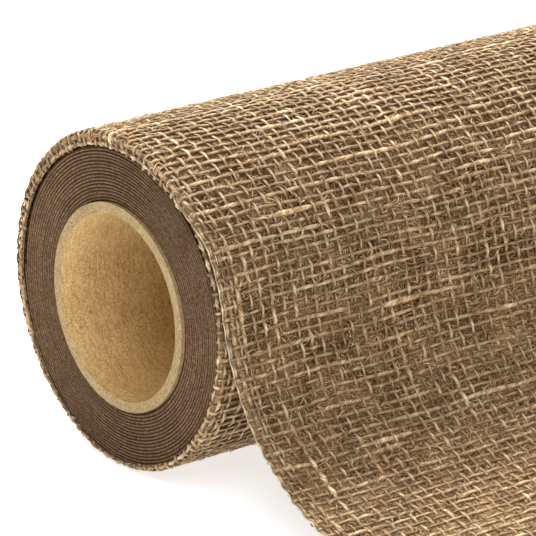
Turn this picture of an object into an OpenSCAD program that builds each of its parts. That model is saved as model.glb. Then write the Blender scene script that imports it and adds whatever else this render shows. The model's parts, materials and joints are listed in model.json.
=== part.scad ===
// A roll of burlap ribbon on a spiral-wound paper core, lying on its side on a table.
// The frame: +X along the roll's axis, +Z up, and the ribbon's tail falls off the front, towards -Y.
// The origin is the middle of the core's bore.

/* [Core] */
// Bore of the core, which takes a dispenser's spindle
core_bore_d = 39.7; // [20:0.1:80]
// Thickness of the smooth kraft liner that faces the bore
liner_t = 0.4; // [0.3:0.05:1]
// Thickness of each of the paperboard body plies
body_ply_t = 0.45; // [0.3:0.05:1.2]
// Thickness of the kraft ply that the ribbon is wound on
outer_ply_t = 0.45; // [0.3:0.05:1]
// How far the core stands proud of the ribbon at each end
core_proud = 0.5; // [0:0.1:5]

/* [Ribbon] */
// Width of the ribbon, from one cut edge to the other
ribbon_w = 152.4; // [40:0.1:300]
// Thickness of the loose cloth in the outer turn and the tail
cloth_t = 0.8; // [0.4:0.05:2]
// Number of turns wound tight on the core
wound_turns = 16; // [5:1:60]
// Thickness that each tight turn adds to the radius, once its yarns have bedded together
turn_pitch = 0.71; // [0.3:0.01:1.5]

/* [Starter tape] */
// Thickness of the double-sided tape under the first turn
tape_t = 0.15; // [0.05:0.05:0.4]
// Width of the tape, along the core
tape_w = 90; // [10:1:140]
// Angle of the core that the tape goes round
tape_angle = 50; // [10:5:170]

/* [Outer turn] */
// How far the slack outer turn stands up above the core's axis
turn_rise = 0.9; // [0:0.1:2]
// Clearance all round between the tight turns and the slack one
turn_clearance = 0.3; // [0.3:0.1:3]
// Clearance where the outer turn passes under its own end
lap_clearance = 0.35; // [0.3:0.05:2]
// Angle that the inner end of the outer turn is tucked in past the peel line
tuck_past = 6; // [2:1:15]

/* [Tail] */
// Angle above the roll's middle at which the tail leaves the roll, at the peel line
peel_angle = 9.8; // [4:0.1:25]
// Slope, from the upright, at which the fall from the roll eases into a flatter curve
ease_angle = 70; // [60:1:80]
// Radius of that flatter curve, which brings the tail down to the table
ease_r = 120; // [60:5:200]
// Length of tail that lies flat on the table
flat_length = 38; // [10:1:200]
// Gap left at each crease line, where one stretch of cloth bends from the next
crease_gap = 0.3; // [0.2:0.1:1]

/* [Hidden] */

// Facets of a full circle where one is drawn in facets
$fn = 180;
// Largest angle between the points of the falling tail's outline
outline_step = 2;
// Largest angle between the corners of a pie slice
slice_step = 45;

// Core: each ply starts where the one inside it ends
liner_r = core_bore_d / 2;
body_ply_r = [for (i = [0:3]) liner_r + liner_t + i * body_ply_t];
core_r = body_ply_r[3] + outer_ply_t;
core_l = ribbon_w + 2 * core_proud;

// Tight turns
wound_r = core_r + wound_turns * turn_pitch;

// The slack outer turn is one lap of a two-centred spiral. Its upper half, from the back over the top
// to the peel line, has its centre above the core's axis. Its lower half is smaller, and its centre is
// further back, so that it passes under the tail with a clearance and its front end is tucked in there.
lap_step = cloth_t + lap_clearance;
lower_centre = [lap_step / 2, turn_rise];
lower_r = wound_r + norm(lower_centre) + turn_clearance + cloth_t / 2;
upper_centre = [0, turn_rise];
upper_r = lower_r + lap_step / 2;
table_z = turn_rise - lower_r - cloth_t / 2;

// Tail: two arcs that run into each other. The first leaves the roll at the peel line, and its radius
// is the one that lets the second come down to the table level.
peel_z = turn_rise + upper_r * sin(peel_angle);
ease_start_z = table_z + cloth_t / 2 + ease_r * (1 - sin(ease_angle));
fall_r = (peel_z - ease_start_z) / (sin(ease_angle) - sin(peel_angle));
fall_centre = upper_centre + (upper_r + fall_r) * [-cos(peel_angle), sin(peel_angle)];
ease_centre = fall_centre + (ease_r - fall_r) * [-cos(ease_angle), sin(ease_angle)];
touch_y = ease_centre[0];

function degrees_along(length, radius) = length / radius * 180 / PI;

function reversed(list) = [for (i = [len(list) - 1:-1:0]) list[i]];

// Points along an arc, evenly spaced, after its first point
function arc_points(centre, radius, from, to) =
    let (steps = ceil(abs(to - from) / outline_step))
    [for (i = [1:steps]) let (a = from + (to - from) * i / steps) centre + radius * [cos(a), sin(a)]];

// One side of the falling tail, offset from the middle of the cloth, from the peel line to the table
function tail_side(offset_out) =
    let (start = -peel_angle - degrees_along(crease_gap, fall_r))
    concat(
        [fall_centre + (fall_r + offset_out) * [cos(start), sin(start)]],
        arc_points(fall_centre, fall_r + offset_out, start, -ease_angle),
        arc_points(ease_centre, ease_r + offset_out, -ease_angle, -90)
    );

// A pie slice, used to cut an arc out of a ring. It spans less than a full turn.
module sector(radius, from, to) {
    steps = ceil((to - from) / slice_step);
    step = (to - from) / steps;
    polygon(concat(
        [[0, 0]],
        [for (i = [0:steps]) radius * [cos(from + i * step), sin(from + i * step)]]
    ));
}

// The edge of a strip of loose cloth that follows an arc, from one angle to the other
module cloth_arc(centre, radius, from, to) {
    translate(centre)
        intersection() {
            difference() {
                circle(radius + cloth_t / 2);
                circle(radius - cloth_t / 2);
            }
            sector(2 * radius, from, to);
        }
}

// Stretches an end view, drawn as Y across and Z up, along the roll's axis
module along_roll(length) {
    rotate([90, 0, 90])
        translate([0, 0, -length / 2])
            linear_extrude(length)
                children();
}

module ring(inner_r, outer_r) {
    difference() {
        circle(outer_r);
        circle(inner_r);
    }
}

// The stretch of the core that the tape covers, centred on the bottom of the core
module tape_shape() {
    along_roll(tape_w)
        intersection() {
            ring(core_r, core_r + tape_t);
            sector(2 * core_r, 270 - tape_angle / 2, 270 + tape_angle / 2);
        }
}

module core_ply(inner_r, outer_r) {
    along_roll(core_l)
        ring(inner_r, outer_r);
}

module core_liner_ply() {
    color("#c39a5e") core_ply(liner_r, liner_r + liner_t);
}

module core_body_ply(i) {
    color("#cfb789") core_ply(body_ply_r[i], body_ply_r[i + 1]);
}

module core_outer_ply() {
    color("#c9ac76") core_ply(body_ply_r[3], core_r);
}

module starter_tape() {
    color("#e8e2cf") tape_shape();
}

// The tight turns, closed up into one ring, with a pocket where the first turn passes over the tape
module ribbon_wound_turns() {
    color("#6d5547")
        difference() {
            along_roll(ribbon_w)
                ring(core_r, wound_r);
            tape_shape();
        }
}

module ribbon_outer_turn() {
    color("#b39672")
        along_roll(ribbon_w) {
            cloth_arc(upper_centre, upper_r, 0, 180 - peel_angle);
            cloth_arc(lower_centre, lower_r, 180 - peel_angle - tuck_past, 360);
        }
}

// The fall's outline is closed up from its upper side, out to the table, and its under side, back to the roll
module ribbon_tail_fall() {
    color("#a98b66")
        along_roll(ribbon_w)
            polygon(concat(tail_side(-cloth_t / 2), reversed(tail_side(cloth_t / 2))));
}

module ribbon_tail_end() {
    color("#a38560")
        along_roll(ribbon_w)
            translate([touch_y - crease_gap - flat_length, table_z])
                square([flat_length, cloth_t]);
}

core_liner_ply();
core_body_ply(0);  // core_body_ply_1
core_body_ply(1);  // core_body_ply_2
core_body_ply(2);  // core_body_ply_3
core_outer_ply();
starter_tape();
ribbon_wound_turns();
ribbon_outer_turn();
ribbon_tail_fall();
ribbon_tail_end();
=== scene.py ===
import json
import math

import bmesh
import bpy
import numpy as np
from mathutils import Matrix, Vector


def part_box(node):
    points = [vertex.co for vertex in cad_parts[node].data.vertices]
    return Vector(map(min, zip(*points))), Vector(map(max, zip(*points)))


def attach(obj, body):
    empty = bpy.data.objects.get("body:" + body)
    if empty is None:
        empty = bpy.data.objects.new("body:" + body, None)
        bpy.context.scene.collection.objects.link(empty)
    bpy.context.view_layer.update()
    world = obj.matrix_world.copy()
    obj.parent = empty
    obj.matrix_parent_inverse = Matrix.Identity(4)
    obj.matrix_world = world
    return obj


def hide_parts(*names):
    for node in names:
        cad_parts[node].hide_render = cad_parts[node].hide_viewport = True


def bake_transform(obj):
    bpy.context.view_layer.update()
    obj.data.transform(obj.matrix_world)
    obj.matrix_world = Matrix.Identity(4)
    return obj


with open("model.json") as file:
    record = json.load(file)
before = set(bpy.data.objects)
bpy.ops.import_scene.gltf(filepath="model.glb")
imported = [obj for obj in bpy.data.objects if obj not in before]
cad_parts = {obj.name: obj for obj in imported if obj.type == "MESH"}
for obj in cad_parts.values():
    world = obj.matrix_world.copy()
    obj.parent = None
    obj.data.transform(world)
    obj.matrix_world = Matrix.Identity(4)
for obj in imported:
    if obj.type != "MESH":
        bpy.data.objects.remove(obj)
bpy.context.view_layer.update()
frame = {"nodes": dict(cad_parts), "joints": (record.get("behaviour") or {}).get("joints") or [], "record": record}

# ---------------------------------------------------------------------------------------------
# The core: a smooth kraft liner, three paperboard plies and a kraft outer ply, wound in a spiral
# and glued into one tube, then cut square at both ends. The frame's own plies are the pieces, and
# get their paper here.
MM = 0.001
core_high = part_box("core_outer_ply")[1]
core_radius = core_high.z
core_end = core_high.x
cut_depth = 0.03 * MM
mounts = {mount["name"]: mount for mount in frame["record"]["mounts"]}
bore_radius = mounts["core_bore"]["dims"]["r_mm"] * MM


def srgb(red, green, blue):
    """A colour given as it looks on a screen, 0 to 255, as the shader's linear red, green, blue, alpha."""
    shares = [value / 255 for value in (red, green, blue)]
    return tuple(s / 12.92 if s <= 0.04045 else ((s + 0.055) / 1.055) ** 2.4 for s in shares) + (1.0,)


def add_node(tree, kind, settings=None, inputs=None):
    """A shader node with its settings, and its inputs set or linked by name or number."""
    node = tree.nodes.new("ShaderNode" + kind)
    for name, value in (settings or {}).items():
        setattr(node, name, value)
    for key, value in (inputs or {}).items():
        if isinstance(value, bpy.types.NodeSocket):
            tree.links.new(value, node.inputs[key])
        else:
            node.inputs[key].default_value = value
    return node


def maths(tree, operation, first, second=0.0, third=0.0):
    """The result of a Math node."""
    return add_node(tree, "Math", {"operation": operation}, {0: first, 1: second, 2: third}).outputs[0]


def noise(tree, vector, scale, detail=2.0, roughness=0.5):
    """A Noise texture's value at a vector."""
    return add_node(
        tree, "TexNoise", None, {"Vector": vector, "Scale": scale, "Detail": detail, "Roughness": roughness}
    ).outputs[0]


def ramp(tree, factor, *stops):
    """A colour ramp from stops of (place, colour)."""
    node = add_node(tree, "ValToRGB", None, {"Fac": factor})
    elements = node.color_ramp.elements
    while len(elements) < len(stops):
        elements.new(1.0)
    for element, (place, colour) in zip(elements, stops):
        element.position = place
        element.color = colour
    return node.outputs[0]


def stretch(tree, vector, along, across, up):
    """A vector with its three parts scaled."""
    return add_node(
        tree, "VectorMath", {"operation": "MULTIPLY"}, {0: vector, 1: (along, across, up)}
    ).outputs[0]


def blend_colours(tree, factor, first, second, kind="MIX"):
    """Two colours mixed by a factor."""
    return add_node(
        tree, "Mix", {"data_type": "RGBA", "blend_type": kind}, {0: factor, 6: first, 7: second}
    ).outputs[2]


def new_material(name, roughness):
    """A material with one Principled shader, and its node tree and shader."""
    material = bpy.data.materials.new(name)
    material.use_nodes = True
    shader = material.node_tree.nodes["Principled BSDF"]
    shader.inputs["Roughness"].default_value = roughness
    return material, material.node_tree, shader


def paper_group():
    """Paper wound on a tube along X: how light its fibres are, and where the tube's ends are cut."""
    group = bpy.data.node_groups.new("wound paper", "ShaderNodeTree")
    for name in ("Streak Length", "Streak Width"):
        group.interface.new_socket(name, in_out="INPUT", socket_type="NodeSocketFloat")
    for name in ("Tone", "Cut End"):
        group.interface.new_socket(name, in_out="OUTPUT", socket_type="NodeSocketFloat")
    given = group.nodes.new("NodeGroupInput")
    place = add_node(group, "TexCoord").outputs["Object"]
    parts = add_node(group, "SeparateXYZ", None, {0: place}).outputs
    angle = maths(group, "ARCTAN2", parts[2], parts[1])
    radius = add_node(
        group, "VectorMath", {"operation": "LENGTH"}, {0: stretch(group, place, 0.0, 1.0, 1.0)}
    ).outputs["Value"]
    round_it = maths(group, "MULTIPLY", angle, bore_radius)
    lean = maths(group, "MULTIPLY_ADD", round_it, 0.05, parts[0])
    streak_place = add_node(
        group,
        "CombineXYZ",
        None,
        {
            0: maths(group, "DIVIDE", lean, given.outputs["Streak Width"]),
            1: maths(group, "DIVIDE", round_it, given.outputs["Streak Length"]),
            2: maths(group, "DIVIDE", radius, given.outputs["Streak Width"]),
        },
    ).outputs[0]
    streaks = noise(group, streak_place, 1.0, 3.0, 0.6)
    specks = noise(group, place, 2600.0, 1.0)
    mottling = noise(group, place, 110.0, 2.0)
    tone = maths(group, "MULTIPLY_ADD", specks, 0.45, maths(group, "MULTIPLY", streaks, 0.4))
    tone = maths(group, "MULTIPLY_ADD", mottling, 0.15, tone)
    cut = maths(group, "GREATER_THAN", maths(group, "ABSOLUTE", parts[0]), core_end - cut_depth)
    put_out = group.nodes.new("NodeGroupOutput")
    group.links.new(tone, put_out.inputs["Tone"])
    group.links.new(cut, put_out.inputs["Cut End"])
    return group


wound_paper = paper_group()
board_shades = (srgb(172, 152, 114), srgb(148, 126, 90), srgb(115, 91, 58))
cut_roughness = 0.95


def paper_material(name, shades, streak_length, streak_width, roughness, relief):
    """Paper in a light, a middle and a dark shade, and plain board at the tube's cut ends."""
    material, tree, shader = new_material(name, roughness)
    shader.inputs["Specular IOR Level"].default_value = 0.2
    marks = add_node(
        tree,
        "Group",
        {"node_tree": wound_paper},
        {"Streak Length": streak_length, "Streak Width": streak_width},
    ).outputs
    tone, cut = marks["Tone"], marks["Cut End"]
    colour, cut_colour = (
        ramp(tree, tone, (0.34, dark), (0.5, middle), (0.66, light))
        for light, middle, dark in (shades, board_shades)
    )
    tree.links.new(blend_colours(tree, cut, colour, cut_colour), shader.inputs["Base Color"])
    rough = maths(tree, "MULTIPLY_ADD", cut, cut_roughness - roughness, roughness)
    tree.links.new(rough, shader.inputs["Roughness"])
    bump = add_node(tree, "Bump", None, {"Strength": 0.35, "Distance": relief, "Height": tone})
    tree.links.new(bump.outputs[0], shader.inputs["Normal"])
    return material


liner_shades = (srgb(222, 198, 148), srgb(198, 165, 111), srgb(152, 116, 69))
outer_shades = (srgb(172, 150, 110), srgb(146, 122, 84), srgb(110, 86, 54))
liner_paper = paper_material("kraft liner", liner_shades, 2.2 * MM, 0.4 * MM, 0.5, 0.05 * MM)
board_paper = paper_material("paperboard", board_shades, 0.9 * MM, 0.2 * MM, 0.8, 0.08 * MM)
outer_paper = paper_material("kraft outer ply", outer_shades, 1.0 * MM, 0.25 * MM, 0.75, 0.08 * MM)


def dress(node_name, material):
    """Gives a CAD node its material."""
    mesh = frame["nodes"][node_name].data
    mesh.materials.clear()
    mesh.materials.append(material)


dress("core_liner_ply", liner_paper)
for ply in ("core_body_ply_1", "core_body_ply_2", "core_body_ply_3"):
    dress(ply, board_paper)
dress("core_outer_ply", outer_paper)

# ---------------------------------------------------------------------------------------------
# The starter tape: double-sided tape with a cream paper carrier, laid along the core, that grips
# the first turn. It is sealed in under the ribbon.
tape_paper, tape_tree, tape_shader = new_material("starter tape", 0.4)
tape_place = add_node(tape_tree, "TexCoord").outputs["Object"]
tape_tree.links.new(
    ramp(
        tape_tree,
        noise(tape_tree, tape_place, 900.0, 3.0),
        (0.35, srgb(214, 204, 178)),
        (0.65, srgb(236, 230, 212)),
    ),
    tape_shader.inputs["Base Color"],
)
dress("starter_tape", tape_paper)

# ---------------------------------------------------------------------------------------------
# The wound turns: the ribbon, wound tight on the core. At each end its cut edges lie as a fine
# spiral of ridges with dark grooves between, so each end is a real spiral on a backing coloured dark brown as
# painted shade.
wound_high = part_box("ribbon_wound_turns")[1]
wound_radius = wound_high.z
wound_end = wound_high.x
turn_count = 16
turn_pitch = (wound_radius - core_radius) / turn_count
backing_inset = 0.4 * MM
ring_facets = 180
steps_round = 96
ridge_half_width = 0.31
same_place = 1e-7


def tubes(name, lines, widths, sides, twist="Z_UP"):
    """Tubes with a number of sides, of given half widths along lines of points, as one mesh."""
    curve = bpy.data.curves.new(name, "CURVE")
    curve.dimensions = "3D"
    curve.twist_mode = twist
    curve.bevel_depth = 1.0
    curve.bevel_resolution = (sides - 4) // 2
    curve.use_fill_caps = True
    for line, width in zip(lines, widths):
        spline = curve.splines.new("POLY")
        spline.points.add(len(line) - 1)
        spline.points.foreach_set("co", np.column_stack([line, np.ones(len(line))]).ravel())
        spline.points.foreach_set("radius", np.broadcast_to(width, len(line)).astype(float))
    draft = bpy.data.objects.new(name, curve)
    mesh = bpy.data.meshes.new_from_object(draft)
    mesh.name = name
    bpy.data.objects.remove(draft)
    bpy.data.curves.remove(curve)
    return mesh


def read_points(mesh):
    """A mesh's vertices as rows of three numbers."""
    found = np.empty(len(mesh.vertices) * 3)
    mesh.vertices.foreach_get("co", found)
    return found.reshape(-1, 3)


def write_points(mesh, points):
    """Moves a mesh's vertices to rows of three numbers."""
    mesh.vertices.foreach_set("co", np.asarray(points, float).ravel())
    mesh.update()


def show(mesh, material):
    """A new object in the scene for a mesh."""
    mesh.materials.append(material)
    made = bpy.data.objects.new(mesh.name, mesh)
    bpy.context.scene.collection.objects.link(made)
    return made


def soften(mesh):
    """Smooth shading, but for the end caps, so that the sides stay evenly shaded up to a cut end."""
    corners = np.empty(len(mesh.polygons), np.int32)
    mesh.polygons.foreach_get("loop_total", corners)
    mesh.polygons.foreach_set("use_smooth", corners == 4)


def close_caps(mesh):
    """Joins each end cap to its tube."""
    shape = bmesh.new()
    shape.from_mesh(mesh)
    bmesh.ops.remove_doubles(shape, verts=shape.verts, dist=same_place)
    shape.to_mesh(mesh)
    shape.free()


wound_cloth, wound_tree, wound_shader = new_material("wound cut edges", 0.9)
wound_shader.inputs["Specular IOR Level"].default_value = 0.05
wound_place = add_node(wound_tree, "TexCoord").outputs["Object"]
grain = noise(wound_tree, wound_place, 2400.0, 2.0)
patches = noise(wound_tree, wound_place, 160.0, 2.0)
edge_tone = maths(wound_tree, "MULTIPLY_ADD", grain, 0.85, maths(wound_tree, "MULTIPLY", patches, 0.15))
wound_tree.links.new(
    ramp(
        wound_tree,
        edge_tone,
        (0.34, srgb(78, 57, 39)),
        (0.5, srgb(101, 79, 58)),
        (0.66, srgb(126, 102, 79)),
    ),
    wound_shader.inputs["Base Color"],
)
edge_bump = add_node(wound_tree, "Bump", None, {"Strength": 0.6, "Distance": 0.1 * MM, "Height": grain})
wound_tree.links.new(edge_bump.outputs[0], wound_shader.inputs["Normal"])

# Painted shade: the backing's dark brown stands for the shade in the grooves between the turns and under the slack
# turn.
painted_shade_backing, painted_shade_tree, painted_shade_shader = new_material("painted shade between turns", 0.95)
painted_shade_shader.inputs["Specular IOR Level"].default_value = 0.0
painted_shade_place = add_node(painted_shade_tree, "TexCoord").outputs["Object"]
painted_shade_tree.links.new(
    ramp(painted_shade_tree, noise(painted_shade_tree, painted_shade_place, 1800.0), (0.35, srgb(46, 33, 23)), (0.65, srgb(72, 54, 40))),
    painted_shade_shader.inputs["Base Color"],
)

ring_shape = bmesh.new()
rim_x = wound_end - backing_inset
corners = [
    ring_shape.verts.new(corner)
    for corner in (
        (-rim_x, 0, core_radius),
        (rim_x, 0, core_radius),
        (rim_x, 0, wound_radius),
        (-rim_x, 0, wound_radius),
    )
]
outline = [ring_shape.edges.new((a, b)) for a, b in zip(corners, corners[1:] + corners[:1])]
bmesh.ops.spin(
    ring_shape,
    geom=corners + outline,
    cent=(0, 0, 0),
    axis=(1, 0, 0),
    angle=2 * math.pi,
    steps=ring_facets,
    use_merge=True,
)
bmesh.ops.remove_doubles(ring_shape, verts=ring_shape.verts, dist=same_place)
bmesh.ops.recalc_face_normals(ring_shape, faces=ring_shape.faces)
wound_mesh = bpy.data.meshes.new("wound_turns")
ring_shape.to_mesh(wound_mesh)
ring_shape.free()
wound_turns = show(wound_mesh, painted_shade_backing)
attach(wound_turns, "wound_roll")
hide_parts("ribbon_wound_turns")

chance = np.random.default_rng(7)


def uneven(places, spacing):
    """Smooth chance values, about -1 to 1, along places, that change over a given spacing."""
    span = np.ptp(places)
    knots = chance.normal(0.0, 0.6, int(span / spacing) + 3)
    return np.interp((places - places.min()) / spacing, np.arange(len(knots)), knots)


def wound_edge(name, side):
    """The spiral of cut edges on one end of the wound turns; side is -1 at the near end."""
    angles = np.arange(turn_count * steps_round + 1) / steps_round * 2 * math.pi
    radii = core_radius + turn_pitch * (0.5 + angles / (2 * math.pi) * (turn_count - 0.5) / turn_count)
    radii = radii + 0.04 * MM * uneven(angles, 0.7)
    lift = 0.08 * MM * uneven(angles, 2.2) + 0.03 * MM * uneven(angles, 0.1)
    line = np.column_stack([radii * np.sin(angles), radii * np.cos(angles), lift])
    width = turn_pitch * (ridge_half_width + 0.03 * uneven(angles, 0.1))
    mesh = tubes(name, [line], [width], 8, "MINIMUM")
    flat = read_points(mesh)
    out = side * (rim_x + flat[:, 2])
    write_points(mesh, np.column_stack([out, flat[:, 1], flat[:, 0]]))
    if side > 0:
        mesh.flip_normals()
    close_caps(mesh)
    soften(mesh)
    edge = show(mesh, wound_cloth)
    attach(edge, "wound_roll")


wound_edge("wound_turns_near_edge", -1)
wound_edge("wound_turns_far_edge", 1)

# ---------------------------------------------------------------------------------------------
# The loose ribbon: plain-woven jute burlap, one slack turn round the roll and a tail that falls
# from the peel line to the table. Here is the way it lies: the flat ribbon is bent along it.
turn_low, turn_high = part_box("ribbon_outer_turn")
end_low, end_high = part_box("ribbon_tail_end")
joints = {joint["name"]: joint for joint in frame["joints"]}
cloth_thickness = end_high.z - end_low.z
ribbon_half = end_high.x
turn_rise = turn_high.z - turn_high.y
upper_radius = turn_high.y - cloth_thickness / 2
lower_radius = turn_rise - turn_low.z - cloth_thickness / 2
lower_y = upper_radius - lower_radius
table_z = end_low.z
peel_y, peel_z = joints["tail_lift"]["pos_m"][1:]
peel_angle = math.atan2(peel_z - turn_rise, -peel_y)
touch_y = joints["tail_end_lift"]["pos_m"][1]
tuck_angle = math.radians(34)
ease_angle = math.radians(70)
peel_bend = 30 * MM
touch_bend = 14 * MM

# The fall's two arcs run into each other and reach the table at the touch line
flat_z = table_z + cloth_thickness / 2
fall_radius, ease_radius = np.linalg.solve(
    [
        [math.cos(ease_angle) - math.cos(peel_angle), -math.cos(ease_angle)],
        [math.sin(ease_angle) - math.sin(peel_angle), 1 - math.sin(ease_angle)],
    ],
    [
        touch_y + upper_radius * math.cos(peel_angle),
        turn_rise + upper_radius * math.sin(peel_angle) - flat_z,
    ],
)
fall_y = -(upper_radius + fall_radius) * math.cos(peel_angle)
fall_z = turn_rise + (upper_radius + fall_radius) * math.sin(peel_angle)
ease_y, ease_z = touch_y, flat_z + ease_radius

start_angle = math.pi - peel_angle - tuck_angle
back_at = lower_radius * (2 * math.pi - start_angle)
peel_at = back_at + upper_radius * (math.pi - peel_angle)
ease_at = peel_at + fall_radius * (ease_angle - peel_angle)
touch_at = ease_at + ease_radius * (math.pi / 2 - ease_angle)
ribbon_length = touch_at + touch_y - end_low.y


def lie(along, across, out):
    """Where points of the flat ribbon lie: along it from the tucked end, across it and out of its face."""
    on_lower, on_upper, on_fall, on_ease = (along < mark for mark in (back_at, peel_at, ease_at, touch_at))
    parts = [on_lower, on_upper, on_fall, on_ease]
    angle = np.select(
        parts,
        [
            start_angle + along / lower_radius,
            (along - back_at) / upper_radius,
            -peel_angle - (along - peel_at) / fall_radius,
            -ease_angle - (along - ease_at) / ease_radius,
        ],
        -math.pi / 2,
    )
    centre_y = np.select(parts, [lower_y, 0.0, fall_y, ease_y], touch_y - (along - touch_at))
    centre_z = np.select(parts, [turn_rise, turn_rise, fall_z, ease_z], ease_z)
    radius = np.select(
        parts,
        [lower_radius + out, upper_radius + out, fall_radius - out, ease_radius - out],
        ease_radius - out,
    )
    return np.column_stack([across, centre_y + radius * np.cos(angle), centre_z + radius * np.sin(angle)])


# The slack turn's edges hang over the ends of the roll: how far, by the angle round the roll
droop_angles = np.radians([137, 165, 185, 200, 270, 315, 360, 400, 430, 470, 488, 497, 505])
droop_depths = np.array([0.5, 0.6, 0.9, 1.2, 0.9, 1.2, 1.9, 2.4, 2.6, 2.6, 1.8, 0.6, 0.0]) * MM
droop_marks = np.where(
    droop_angles < 2 * math.pi,
    (droop_angles - start_angle) * lower_radius,
    back_at + (droop_angles - 2 * math.pi) * upper_radius,
)
droop_bend = 0.55 * MM
droop_from = ribbon_half - 0.25 * MM
full_bend_depth = 0.9 * MM
slack_width = 30 * MM


def hang_over(along, across, out):
    """Widens the slack turn a little and bends its edges over the ends of the roll."""
    depth = np.interp(along, droop_marks, droop_depths, right=0.0)
    side = np.sign(across)
    reach = np.abs(across)
    share = np.clip((reach - (ribbon_half - slack_width)) / slack_width, 0, 1.2)
    reach = reach + depth * 1.25 * share**2
    turn = np.clip(depth / full_bend_depth, 0, 1) * math.pi / 2
    past = np.maximum(reach - droop_from, 0)
    bend = np.minimum(past / droop_bend, turn)
    straight = past - bend * droop_bend
    sunk = droop_bend * (1 - np.cos(bend)) + straight * np.sin(bend)
    reached = np.minimum(reach, droop_from) + droop_bend * np.sin(bend) + straight * np.cos(bend)
    return along, side * (reached + out * np.sin(bend)), out * np.cos(bend) - sunk


# ---------------------------------------------------------------------------------------------
# The weave: spun jute yarns, laid over and under one another on the loom. Three warps are beaten
# close at each cut edge, and the rest are spaced evenly, as far as jute yarn ever is.
weft_pitch = 2.03 * MM
warp_pitch = 2.65 * MM
edge_warps = ribbon_half - np.array([0.7, 1.9, 3.3]) * MM
weft_count = int(ribbon_length / weft_pitch)
weft_at = (np.arange(weft_count) + 0.5) * ribbon_length / weft_count
weft_at = weft_at + 0.35 * MM * uneven(weft_at, 14 * MM) + chance.normal(0, 0.08 * MM, weft_count)
inner_span = edge_warps[-1] - 0.5 * warp_pitch
inner_count = round(2 * inner_span / warp_pitch) + 1
inner_warps = np.linspace(-inner_span, inner_span, inner_count)
inner_warps = inner_warps + 0.3 * MM * uneven(inner_warps, 12 * MM) + chance.normal(0, 0.1 * MM, inner_count)
warp_at = np.concatenate([-edge_warps, inner_warps, edge_warps[::-1]])
warp_count = len(warp_at)

warp_lift = 0.2 * MM
weft_lift = 0.1 * MM
warp_half_width = 0.33 * MM
weft_half_width = 0.37 * MM
thickest_slub = 0.8 * MM
yarn_flatness = 0.7
steps_between = 3
weft_numbers = np.arange(steps_between * (weft_count - 1) + 1) / steps_between
along_steps = np.interp(weft_numbers, np.arange(weft_count), weft_at)
warp_numbers = np.arange(steps_between * (warp_count - 1) + 1) / steps_between
across_steps = np.interp(warp_numbers, np.arange(warp_count), warp_at)


def slubs(places, usual, how_many):
    """A yarn's half width along its length: uneven, with a few thick, loosely spun slubs."""
    width = usual * (1 + 0.16 * uneven(places, 5 * MM) + 0.2 * uneven(places, 0.7 * MM))
    width = width * np.exp(chance.normal(0, 0.08))
    for _ in range(chance.poisson(how_many)):
        middle = chance.uniform(places.min(), places.max())
        length = chance.uniform(3, 9) * MM
        width = width * (1 + chance.uniform(0.15, 0.45) * np.exp(-(((places - middle) / length) ** 2)))
    return np.clip(width, 0.6 * usual, thickest_slub)


def shades(places):
    """How light a yarn is along its length, from 0 to 1."""
    usual = 0.5 + chance.normal(0, 0.025)
    return np.clip(usual + 0.07 * uneven(places, 7 * MM) + 0.1 * uneven(places, 1 * MM), 0, 1)


warps = []
for number, place in enumerate(warp_at):
    across = place + 0.18 * MM * uneven(along_steps, 8 * MM) + 0.1 * MM * uneven(along_steps, 1.4 * MM)
    out = warp_lift * np.cos(math.pi * (weft_numbers + number))
    warps.append(
        (
            np.column_stack([along_steps, across, out]),
            slubs(along_steps, warp_half_width, 6),
            shades(along_steps),
        )
    )

weft_tips = ribbon_half + np.array([-0.5, -0.2]) * MM
wefts = []
for number, place in enumerate(weft_at):
    over = weft_tips + abs(chance.normal(0, 0.12)) * MM
    steps = np.concatenate([-over[::-1], across_steps, over])
    along = place + 0.2 * MM * uneven(steps, 8 * MM) + 0.1 * MM * uneven(steps, 1.4 * MM)
    out = -weft_lift * np.cos(math.pi * (warp_numbers + number))
    out = np.concatenate([[0, 0], out, [0, 0]])
    wefts.append((np.column_stack([along, steps, out]), slubs(steps, weft_half_width, 4), shades(steps)))

# Slow pulls in the cloth, which carry every yarn with them: heading, rate and phase of each
pull_size = 0.13 * MM
full_turn = 2 * math.pi
pulls = [
    (chance.uniform(0, full_turn), full_turn / (chance.uniform(16, 60) * MM), chance.uniform(0, full_turn))
    for _ in range(10)
]


def pull(along, across):
    """Points of the flat ribbon shifted by the slow pulls."""
    for number, (heading, rate, phase) in enumerate(pulls):
        wave = pull_size * np.sin(rate * (along * math.cos(heading) + across * math.sin(heading)) + phase)
        if number % 2:
            along = along + wave
        else:
            across = across + wave * np.clip((ribbon_half - np.abs(across)) / (6 * MM), 0.35, 1)
    return along, across


def lay(flat):
    """Points of the flat ribbon, taken to where the cloth lies."""
    along, across = pull(flat[:, 0], flat[:, 1])
    return lie(*hang_over(along, across, flat[:, 2]))


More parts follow.
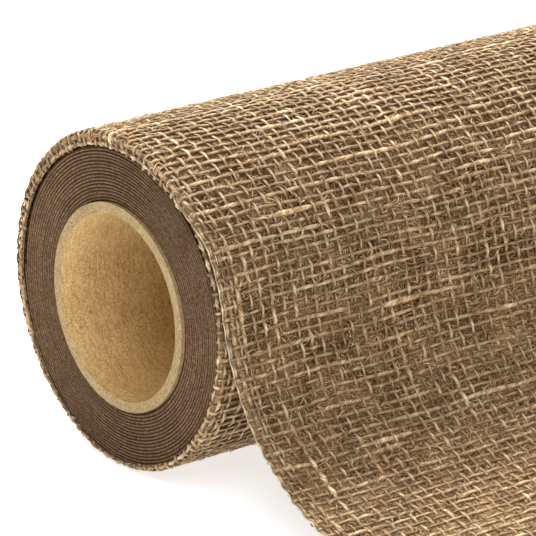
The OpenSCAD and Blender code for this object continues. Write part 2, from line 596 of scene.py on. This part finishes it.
def lay_yarns(name, yarns, run, flatness, sides, material):
    """Yarns of (line, half widths, shades) as one piece; run is the flat axis that they follow."""
    lines = [line * (1, 1, 1 / flatness) for line, _, _ in yarns]
    mesh = tubes(name, lines, [width for _, width, _ in yarns], sides)
    flat = read_points(mesh)
    flat[:, 2] *= flatness
    shade = np.concatenate(
        [np.repeat(values[[-1, 0]], sides) for _, _, values in yarns]
        + [np.repeat(values, sides) for _, _, values in yarns]
    )
    start = chance.uniform(0, 500, len(yarns))
    counts = [len(line) * sides for line in lines]
    starts = np.concatenate([np.repeat(start, 2 * sides), np.repeat(start, counts)])
    # Height is each point's distance from the cloth's middle plane; the jute shader turns it into painted shade
    # and painted highlight.
    for label, values in (("Shade", shade), ("Height", np.clip(np.abs(flat[:, 2]) / MM, 0, 1))):
        mesh.attributes.new(label, "FLOAT", "POINT").data.foreach_set("value", values.astype(np.float32))
    corner = np.empty(len(mesh.loops), np.int32)
    mesh.loops.foreach_get("vertex_index", corner)
    layer = mesh.uv_layers[0]
    chart = np.empty(2 * len(corner), np.float32)
    layer.data.foreach_get("uv", chart)
    chart[::2] = (flat[:, run] / MM + starts)[corner]
    layer.data.foreach_set("uv", chart)
    write_points(mesh, lay(flat))
    close_caps(mesh)
    soften(mesh)
    return show(mesh, material)


def jute_group():
    """Jute yarn: twisted fibre streaks, golden and grey fibres, painted shade where it lies deep near the cloth's
    middle, and painted highlight on its outermost crests.
    """
    group = bpy.data.node_groups.new("jute yarn", "ShaderNodeTree")
    group.interface.new_socket("Lightest", in_out="INPUT", socket_type="NodeSocketColor")
    group.interface.new_socket("Colour", in_out="OUTPUT", socket_type="NodeSocketColor")
    group.interface.new_socket("Streaks", in_out="OUTPUT", socket_type="NodeSocketFloat")
    given = group.nodes.new("NodeGroupInput")
    chart = add_node(group, "UVMap", {"uv_map": "UVMap"}).outputs[0]
    along, around = add_node(group, "SeparateXYZ", None, {0: chart}).outputs[:2]
    turn = maths(group, "MULTIPLY_ADD", along, 1.3, maths(group, "MULTIPLY", around, 2 * math.pi))
    twisted = add_node(
        group,
        "CombineXYZ",
        None,
        {
            0: maths(group, "MULTIPLY", along, 0.3),
            1: maths(group, "COSINE", turn),
            2: maths(group, "SINE", turn),
        },
    ).outputs[0]
    streaks = noise(group, twisted, 2.0, 4.0, 0.85)
    along_hue = maths(group, "MULTIPLY", along, 0.7)
    hue_place = add_node(group, "CombineXYZ", None, {0: along_hue, 1: around}).outputs[0]
    hue = noise(group, hue_place, 1.0, 2.0)
    shade = add_node(group, "Attribute", {"attribute_name": "Shade"}).outputs["Fac"]
    height = add_node(group, "Attribute", {"attribute_name": "Height"}).outputs["Fac"]
    tone = maths(group, "MULTIPLY_ADD", streaks, 1.0, maths(group, "MULTIPLY_ADD", shade, 0.6, -0.3))
    black, white = (0, 0, 0, 1), (1, 1, 1, 1)
    brown, tan, fawn = srgb(90, 62, 36), srgb(152, 120, 83), srgb(194, 163, 123)
    colour = ramp(group, tone, (0.36, brown), (0.46, tan), (0.54, fawn))
    palest = ramp(group, tone, (0.54, black), (0.65, white))
    colour = blend_colours(group, palest, colour, given.outputs["Lightest"])
    golden = ramp(group, hue, (0.56, black), (0.7, white))
    grey = ramp(group, hue, (0.3, white), (0.42, black))
    colour = blend_colours(group, maths(group, "MULTIPLY", golden, 0.35), colour, srgb(178, 122, 64))
    colour = blend_colours(group, maths(group, "MULTIPLY", grey, 0.35), colour, srgb(150, 142, 132))
    # Painted shade and highlight: the colour is multiplied darker near the cloth's middle plane and lighter on the
    # crests that stand farthest out.
    painted_shade_and_highlight = maths(group, "MULTIPLY_ADD", height, 1.75, 0.42)
    painted_shade_and_highlight_colour = add_node(group, "CombineColor", None, {0: painted_shade_and_highlight, 1: painted_shade_and_highlight, 2: painted_shade_and_highlight}).outputs[0]
    put_out = group.nodes.new("NodeGroupOutput")
    group.links.new(blend_colours(group, 1.0, colour, painted_shade_and_highlight_colour, "MULTIPLY"), put_out.inputs["Colour"])
    group.links.new(streaks, put_out.inputs["Streaks"])
    return group


jute_yarn = jute_group()


def jute_material(name, lightest):
    """Jute, from dark brown to its lightest colour."""
    material, tree, shader = new_material(name, 0.7)
    shader.inputs["Specular IOR Level"].default_value = 0.25
    marks = add_node(tree, "Group", {"node_tree": jute_yarn}, {"Lightest": lightest}).outputs
    tree.links.new(marks["Colour"], shader.inputs["Base Color"])
    bump = add_node(tree, "Bump", None, {"Strength": 1.0, "Distance": 0.25 * MM, "Height": marks["Streaks"]})
    tree.links.new(bump.outputs[0], shader.inputs["Normal"])
    return material


warp_jute = jute_material("jute warp", srgb(244, 224, 188))
weft_jute = jute_material("jute weft", srgb(236, 213, 175))

# The stretches of ribbon that move apart. Each seam lies under a weft, where both sides are still.
mid_at = (peel_at + peel_bend + touch_at - touch_bend) / 2
peel_weft = int(np.argmin(np.abs(weft_at - peel_at)))
mid_weft = int(np.argmin(np.abs(weft_at - mid_at)))
half_weft = peel_weft // 2
stretches = {
    "loose_turn": (0, peel_weft),
    "tail_fall": (peel_weft, mid_weft),
    "tail_end": (mid_weft, weft_count - 1),
}


def stretch_of_warps(first, last, chosen):
    """The part of each chosen warp between two wefts."""
    part = slice(steps_between * first, steps_between * last + 1)
    return [(line[part], width[part], shade[part]) for line, width, shade in chosen]


# ---------------------------------------------------------------------------------------------
# The web: loose jute fibre that fills the holes of the weave, too fine to lay one by one. It is a
# thin sheet a little below the middle of the yarns.
# Its darkest colours are painted shade, for the shaded cloth and space beneath that the holes would show.
web_thickness = 0.06 * MM
web_columns = 90
web_row = 1.6 * MM
web_depths = np.array([0.26, 0.05]) * MM
fibre_web_and_painted_shade, base_tree, base_shader = new_material("fibres and painted shade between the yarns", 0.95)
base_shader.inputs["Specular IOR Level"].default_value = 0.03
base_chart = add_node(base_tree, "UVMap", {"uv_map": "UVMap"}).outputs[0]
along_fibres = noise(base_tree, stretch(base_tree, base_chart, 0.9, 5.0, 1.0), 1.0, 3.0, 0.75)
across_fibres = noise(base_tree, stretch(base_tree, base_chart, 5.0, 0.9, 1.0), 1.0, 3.0, 0.75)
filled = noise(base_tree, stretch(base_tree, base_chart, 0.12, 0.12, 1.0), 1.0, 2.0)
base_tone = maths(base_tree, "MAXIMUM", along_fibres, across_fibres)
base_tone = maths(base_tree, "MULTIPLY_ADD", filled, 0.2, maths(base_tree, "SUBTRACT", base_tone, 0.1))
base_across = add_node(base_tree, "SeparateXYZ", None, {0: base_chart}).outputs[1]
by_edge = maths(base_tree, "GREATER_THAN", maths(base_tree, "ABSOLUTE", base_across), ribbon_half / MM - 8)
base_tone = maths(base_tree, "MULTIPLY_ADD", by_edge, 0.05, base_tone)
# The darkest stops are painted shade for what lies beneath the holes; the lighter ones are the loose fibre itself.
base_tree.links.new(
    ramp(
        base_tree,
        base_tone,
        (0.46, srgb(44, 26, 11)),
        (0.53, srgb(100, 71, 42)),
        (0.6, srgb(162, 128, 88)),
        (0.68, srgb(216, 185, 142)),
    ),
    base_shader.inputs["Base Color"],
)
base_bump = add_node(base_tree, "Bump", None, {"Strength": 1.0, "Distance": 0.3 * MM, "Height": base_tone})
base_tree.links.new(base_bump.outputs[0], base_shader.inputs["Normal"])


def base_sheet(name, from_along, to_along, rows):
    """The thin web of loose fibre, coloured dark in part as painted shade, that fills the weave's holes, from one
    place along to another.
    """
    web = bmesh.new()
    chart = web.loops.layers.uv.new("UVMap")
    bmesh.ops.create_grid(web, x_segments=rows, y_segments=web_columns, size=0.5, calc_uvs=False)
    bmesh.ops.solidify(web, geom=web.faces[:], thickness=web_thickness)
    bmesh.ops.recalc_face_normals(web, faces=web.faces)
    for face in web.faces:
        for loop in face.loops:
            place = loop.vert.co
            loop[chart].uv = (
                (from_along + (place.x + 0.5) * (to_along - from_along)) / MM,
                place.y * 2 * ribbon_half / MM,
            )
    mesh = bpy.data.meshes.new(name)
    web.to_mesh(mesh)
    web.free()
    flat = read_points(mesh)
    flat[:, 0] = from_along + (flat[:, 0] + 0.5) * (to_along - from_along)
    middle = np.clip(flat[:, 1] * 2, -1, 1)
    flat[:, 1] = np.sign(middle) * (ribbon_half - 0.2 * MM) * (1 - (1 - np.abs(middle)) ** 1.5)
    flat[:, 2] -= np.interp(flat[:, 0], [peel_at, peel_at + peel_bend], web_depths)
    write_points(mesh, lay(flat))
    mesh.polygons.foreach_set("use_smooth", np.ones(len(mesh.polygons), bool))
    return show(mesh, fibre_web_and_painted_shade)


first_at, last_at = weft_at[0] - 0.4 * MM, weft_at[-1] + 0.4 * MM
web_ends = {
    "loose_turn": (first_at, weft_at[peel_weft]),
    "tail_fall": (weft_at[peel_weft], weft_at[mid_weft]),
    "tail_end": (weft_at[mid_weft], last_at),
}
cad_node = {
    "loose_turn": "ribbon_outer_turn",
    "tail_fall": "ribbon_tail_fall",
    "tail_end": "ribbon_tail_end",
}
bend_marks = np.array([peel_at, peel_at + peel_bend, touch_at - touch_bend, touch_at + touch_bend])
peel_point, bent_point, touch_from, touch_to = lie(bend_marks, np.zeros(4), np.zeros(4))


def follow(piece, stretch_name):
    """Attaches a piece of the slack turn to the loose_turn body; a piece of the tail only gets its placement baked
    into its points.
    """
    if stretch_name == "loose_turn":
        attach(piece, "loose_turn")
    elif stretch_name == "tail_fall":
        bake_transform(piece)
    else:
        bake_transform(piece)
    return piece


# ---------------------------------------------------------------------------------------------
# The edge threads and the stray fibres: a fine pale thread catches the weft ends along each cut
# edge, and single fibres work loose from the yarns and lie over them.
thread_from = back_at + upper_radius * math.radians(126)
thread_half_width = 0.13 * MM


def edge_thread(first, last):
    """The fine pale thread that runs along each cut edge, in and out of the weft ends."""
    first = max(first, int(np.argmin(np.abs(weft_at - thread_from))))
    part = slice(steps_between * first, steps_between * last + 1)
    return [(line[part], width[part], shade[part]) for line, width, shade in edge_lines]


edge_lines = []
for side in (-1, 1):
    across = side * (ribbon_half - 0.1 * MM + 0.07 * MM * uneven(along_steps, 4 * MM))
    out = 0.16 * MM * np.cos(math.pi * weft_numbers) + 0.1 * MM
    edge_lines.append(
        (
            np.column_stack([along_steps, across, out]),
            thread_half_width * (1 + 0.2 * uneven(along_steps, 2 * MM)),
            np.clip(0.95 + 0.1 * uneven(along_steps, 3 * MM), 0, 1),
        )
    )
edge_jute = jute_material("pale edge thread", srgb(244, 226, 190))
fibre_jute = jute_material("stray jute fibre", srgb(232, 204, 158))


SQUARE_CM = 1e-4
fibre_points = 4
fibre_overhang = 0.4 * MM


def stray_fibres(low_at, high_at, per_square_cm):
    """Single fibres that lie over the yarns in shallow arches, between two places along the ribbon."""
    count = int((high_at - low_at) * 2 * ribbon_half / SQUARE_CM * per_square_cm)
    share = np.linspace(0, 1, fibre_points)
    fibres = []
    for _ in range(count):
        heading = chance.choice([0, math.pi / 2]) + chance.normal(0, 0.5)
        bend = chance.normal(0, 0.6)
        length = chance.uniform(0.8, 3.5) * MM
        turn = heading + bend * (share - 0.5)
        step = length / fibre_points
        along = chance.uniform(low_at, high_at) + np.cumsum(np.cos(turn)) * step
        across = chance.uniform(-ribbon_half, ribbon_half) + np.cumsum(np.sin(turn)) * step
        along = along + max(low_at - along.min(), 0) - max(along.max() - high_at, 0)
        limit = ribbon_half + fibre_overhang
        across = across + max(-limit - across.min(), 0) - max(across.max() - limit, 0)
        arch = chance.exponential(0.16) * MM
        out = chance.uniform(0.05, 0.45) * MM + arch * np.sin(math.pi * share)
        width = chance.uniform(0.03, 0.08) * MM * (1 - 0.5 * share)
        lightness = np.full(fibre_points, chance.uniform(0.1, 1.0))
        fibres.append((np.column_stack([along, across, out]), width, lightness))
    return fibres


# ---------------------------------------------------------------------------------------------
# The loose cloth put together: each stretch gets its web, warps, wefts, edge threads and fibres.
# The slack turn has few fibres on its lower half, which is mostly out of sight.
few_fibres, many_fibres = 6.0, 62.0
made = {}
for stretch_name, (first, last) in stretches.items():
    low_at, high_at = web_ends[stretch_name]
    rows = int((high_at - low_at) / web_row)
    web = follow(base_sheet(f"{stretch_name}_web", low_at, high_at, rows), stretch_name)
    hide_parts(cad_node[stretch_name])
    pieces = []
    stop = last + 1 if stretch_name == "tail_end" else last
    if stretch_name == "loose_turn":
        half = warp_count // 2
        groups = [
            ("warps_near", stretch_of_warps(first, last, warps[:half]), 0, warp_jute),
            ("warps_far", stretch_of_warps(first, last, warps[half:]), 0, warp_jute),
            ("wefts_under", wefts[first:half_weft], 1, weft_jute),
            ("wefts_over", wefts[half_weft:stop], 1, weft_jute),
        ]
    else:
        groups = [
            ("warps", stretch_of_warps(first, last, warps), 0, warp_jute),
            ("wefts", wefts[first:stop], 1, weft_jute),
        ]
    for part_name, yarns, run, material in groups:
        piece = lay_yarns(f"{stretch_name}_{part_name}", yarns, run, yarn_flatness, 6, material)
        pieces.append(follow(piece, stretch_name))
    thread = lay_yarns(f"{stretch_name}_edge_threads", edge_thread(first, last), 0, 0.9, 6, edge_jute)
    pieces.append(follow(thread, stretch_name))
    if stretch_name == "loose_turn":
        half_at = weft_at[half_weft]
        quarter_at = (half_at + high_at) / 2
        patches = [
            ("fibres_under", low_at, half_at, few_fibres),
            ("fibres_back", half_at, quarter_at, many_fibres),
            ("fibres_front", quarter_at, high_at, many_fibres),
        ]
    else:
        patches = [("fibres", low_at, high_at, many_fibres)]
    for part_name, from_at, to_at, density in patches:
        fibres = stray_fibres(from_at, to_at, density)
        fuzz = lay_yarns(f"{stretch_name}_{part_name}", fibres, 0, 1.0, 4, fibre_jute)
        pieces.append(follow(fuzz, stretch_name))
    made[stretch_name] = (web, pieces, high_at - low_at)

# ---------------------------------------------------------------------------------------------
# The frayed end: the ribbon is cut straight across at its free end and is not hemmed, so each warp
# runs on a little past the last weft and bends its own way.
fray_points = 6
share = np.linspace(0, 1, fray_points)
frays = []
for line, width, shade in warps:
    reach = chance.uniform(0.8, 3.5) * MM
    sideways, upwards = chance.normal(0, 0.35 * MM, 2)
    along = line[-1, 0] + reach * share
    across = line[-1, 1] + sideways * share**2
    out = line[-1, 2] * (1 - share) + abs(upwards) * share**2
    lightness = np.full(fray_points, shade[-1])
    frays.append((np.column_stack([along, across, out]), width[-1] * (1 - 0.4 * share), lightness))
frayed_end = lay_yarns("tail_end_frayed_warps", frays, 0, yarn_flatness, 6, warp_jute)
made["tail_end"][1].append(follow(frayed_end, "tail_end"))

# ---------------------------------------------------------------------------------------------
# The stage: a plain pale floor just under the roll, one strong soft light high at the back, a weaker
# one in front, and a camera in front of the roll's near end, looking a little down on it.
floor_size = 6.0
floor_gap = 0.3 * MM
floor_paint, _, floor_shader = new_material("pale floor", 0.9)
floor_shader.inputs["Base Color"].default_value = (0.8, 0.8, 0.8, 1)
floor_shader.inputs["Emission Color"].default_value = (1, 1, 1, 1)
floor_shader.inputs["Emission Strength"].default_value = 0.7
floor_shape = bmesh.new()
bmesh.ops.create_grid(floor_shape, x_segments=1, y_segments=1, size=floor_size)
bmesh.ops.translate(floor_shape, verts=floor_shape.verts, vec=(0, 0, table_z - floor_gap))
floor_mesh = bpy.data.meshes.new("floor")
floor_shape.to_mesh(floor_mesh)
floor_shape.free()
floor = show(floor_mesh, floor_paint)


def soft_light(name, azimuth, elevation, distance, size, power):
    """A square area light that looks at the roll; azimuth 0 stands in front, at -Y."""
    lamp = bpy.data.lights.new(name, "AREA")
    lamp.energy = power
    lamp.size = size
    turn, lift = math.radians(azimuth), math.radians(elevation)
    way = Vector((math.sin(turn) * math.cos(lift), -math.cos(turn) * math.cos(lift), math.sin(lift)))
    light = bpy.data.objects.new(name, lamp)
    light.location = way * distance
    light.rotation_euler = way.to_track_quat("Z", "Y").to_euler()
    bpy.context.scene.collection.objects.link(light)


soft_light("overhead", 165, 58, 1.3, 0.35, 40.0)
soft_light("front_fill", -30, 50, 1.5, 1.0, 12.0)

world = bpy.data.worlds.new("studio")
world.use_nodes = True
world.node_tree.nodes["Background"].inputs["Color"].default_value = (1, 1, 1, 1)
world.node_tree.nodes["Background"].inputs["Strength"].default_value = 0.5
bpy.context.scene.world = world
bpy.context.scene.view_settings.view_transform = "Standard"

camera_azimuth = math.radians(-37.918)
camera_elevation = math.radians(19.638)
camera_aim = Vector((-50.8, -16.9, 7.7)) * MM
camera_distance = 0.9
lens = bpy.data.cameras.new("camera")
lens.lens = 296.67
lens.sensor_width = 36
camera = bpy.data.objects.new("camera", lens)
back = Vector(
    (
        math.sin(camera_azimuth) * math.cos(camera_elevation),
        -math.cos(camera_azimuth) * math.cos(camera_elevation),
        math.sin(camera_elevation),
    )
)
camera.location = camera_aim + back * camera_distance
camera.rotation_euler = (math.pi / 2 - camera_elevation, 0, camera_azimuth)
bpy.context.scene.collection.objects.link(camera)
bpy.context.scene.camera = camera
